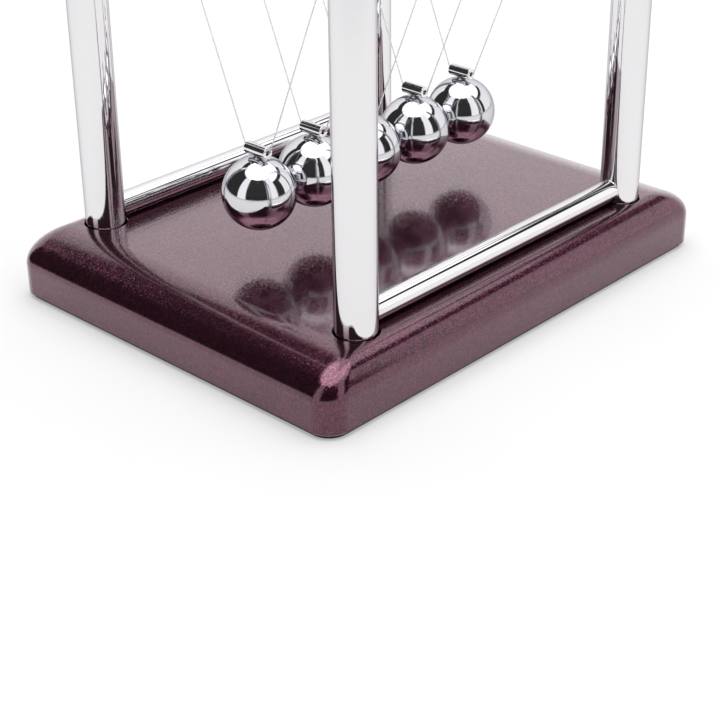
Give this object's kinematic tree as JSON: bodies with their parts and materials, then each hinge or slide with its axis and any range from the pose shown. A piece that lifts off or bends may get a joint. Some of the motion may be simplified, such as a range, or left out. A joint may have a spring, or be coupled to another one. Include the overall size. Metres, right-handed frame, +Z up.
{
  "type": "newtons cradle",
  "caption": "Desk pendulum toy: a row of polished steel balls on V-shaped lines between two chrome side frames, on a lacquered rectangular block.",
  "frame": {"origin": "middle of the underside, on the surface that the cradle stands on", "axes": "+Z up, +X along the row of balls, +Y across from the front side frame to the back one"},
  "size_m": [0.17, 0.1324, 0.18],
  "materials": {
    "lacquer": "wine red metallic-flake lacquer under a mirror-gloss clear coat",
    "felt": "thin black felt sheet",
    "chrome": "mirror chrome plate on steel tube and bar",
    "ball": "mirror-polished steel",
    "line": "translucent nylon monofilament",
    "zinc": "zinc-plated steel",
    "plug": "black moulded nylon"
  },
  "bodies": {
    "frame": {"base_block": "lacquer", "base_felt": "felt", "post_front_left": "chrome", "post_cap_front_left": "chrome", "post_plug_front_left": "plug", "post_screw_front_left": "zinc", "post_washer_front_left": "zinc", "post_front_right": "chrome", "post_cap_front_right": "chrome", "post_plug_front_right": "plug", "post_screw_front_right": "zinc", "post_washer_front_right": "zinc", "post_back_left": "chrome", "post_cap_back_left": "chrome", "post_plug_back_left": "plug", "post_screw_back_left": "zinc", "post_washer_back_left": "zinc", "post_back_right": "chrome", "post_cap_back_right": "chrome", "post_plug_back_right": "plug", "post_screw_back_right": "zinc", "post_washer_back_right": "zinc", "bottom_rail_front": "chrome", "top_rail_front": "chrome", "line_anchor_front_1": "chrome", "line_anchor_front_2": "chrome", "line_anchor_front_3": "chrome", "line_anchor_front_4": "chrome", "line_anchor_front_5": "chrome", "bottom_rail_back": "chrome", "top_rail_back": "chrome", "line_anchor_back_1": "chrome", "line_anchor_back_2": "chrome", "line_anchor_back_3": "chrome", "line_anchor_back_4": "chrome", "line_anchor_back_5": "chrome"},
    "pendulum_1": {"ball_1": "ball", "sleeve_1": "chrome", "line_1": "line"},
    "pendulum_2": {"ball_2": "ball", "sleeve_2": "chrome", "line_2": "line"},
    "pendulum_3": {"ball_3": "ball", "sleeve_3": "chrome", "line_3": "line"},
    "pendulum_4": {"ball_4": "ball", "sleeve_4": "chrome", "line_4": "line"},
    "pendulum_5": {"ball_5": "ball", "sleeve_5": "chrome", "line_5": "line"}
  },
  "joints": [
    {"name": "ball_1_swing", "type": "hinge", "parent": "frame", "child": "pendulum_1", "pos_m": [-0.045, 0, 0.16798], "axis": [0, 1, 0], "range_deg": [0, 45]},
    {"name": "ball_2_swing", "type": "hinge", "parent": "frame", "child": "pendulum_2", "pos_m": [-0.0225, 0, 0.16798], "axis": [0, 1, 0], "range_deg": [-0.08, 0.08]},
    {"name": "ball_3_swing", "type": "hinge", "parent": "frame", "child": "pendulum_3", "pos_m": [0, 0, 0.16798], "axis": [0, 1, 0], "range_deg": [-0.08, 0.08]},
    {"name": "ball_4_swing", "type": "hinge", "parent": "frame", "child": "pendulum_4", "pos_m": [0.0225, 0, 0.16798], "axis": [0, 1, 0], "range_deg": [-0.08, 0.08]},
    {"name": "ball_5_swing", "type": "hinge", "parent": "frame", "child": "pendulum_5", "pos_m": [0.045, 0, 0.16798], "axis": [0, 1, 0], "range_deg": [-45, 0]}
  ]
}
